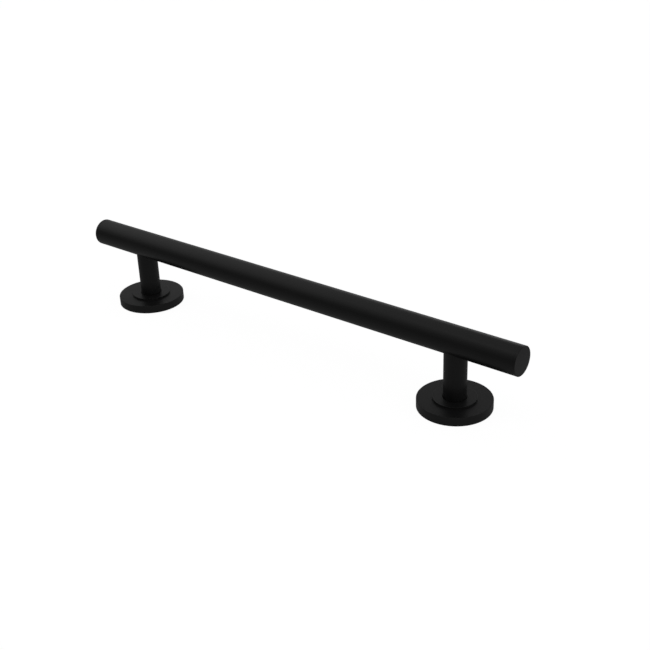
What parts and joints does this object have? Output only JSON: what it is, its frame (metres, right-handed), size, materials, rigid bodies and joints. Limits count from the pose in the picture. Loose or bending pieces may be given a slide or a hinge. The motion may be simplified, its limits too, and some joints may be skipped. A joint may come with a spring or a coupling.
{
  "type": "grab bar",
  "caption": "Straight round wall-mounted grab bar with capped ends on coped tubular posts, with slip-on round stepped covers that slide up to bare the hidden screw plates.",
  "frame": {"origin": "midway between the two posts, on the wall plane that both mounting plates bear on", "axes": "+X along the bar, +Z out of the wall from the plates towards the bar, +Y across the bar"},
  "size_m": [0.6096, 0.081, 0.0932],
  "materials": {
    "bar_coat": "satin black powder coat on steel tube",
    "cover_coat": "satin black powder coat on a thin metal cover",
    "plate_coat": "black powder coat on steel plate"
  },
  "bodies": {
    "bar_frame": {"grab_tube": "bar_coat", "end_cap_left": "bar_coat", "end_cap_right": "bar_coat", "post_left": "bar_coat", "post_right": "bar_coat", "mounting_plate_left": "plate_coat", "mounting_plate_right": "plate_coat"},
    "cover_left": {"cover_left": "cover_coat"},
    "cover_right": {"cover_right": "cover_coat"}
  },
  "joints": [
    {"name": "cover_left_slide", "type": "slide", "parent": "bar_frame", "child": "cover_left", "axis": [0, 0, 1], "range_m": [0, 0.0489]},
    {"name": "cover_right_slide", "type": "slide", "parent": "bar_frame", "child": "cover_right", "axis": [0, 0, 1], "range_m": [0, 0.0489]}
  ]
}
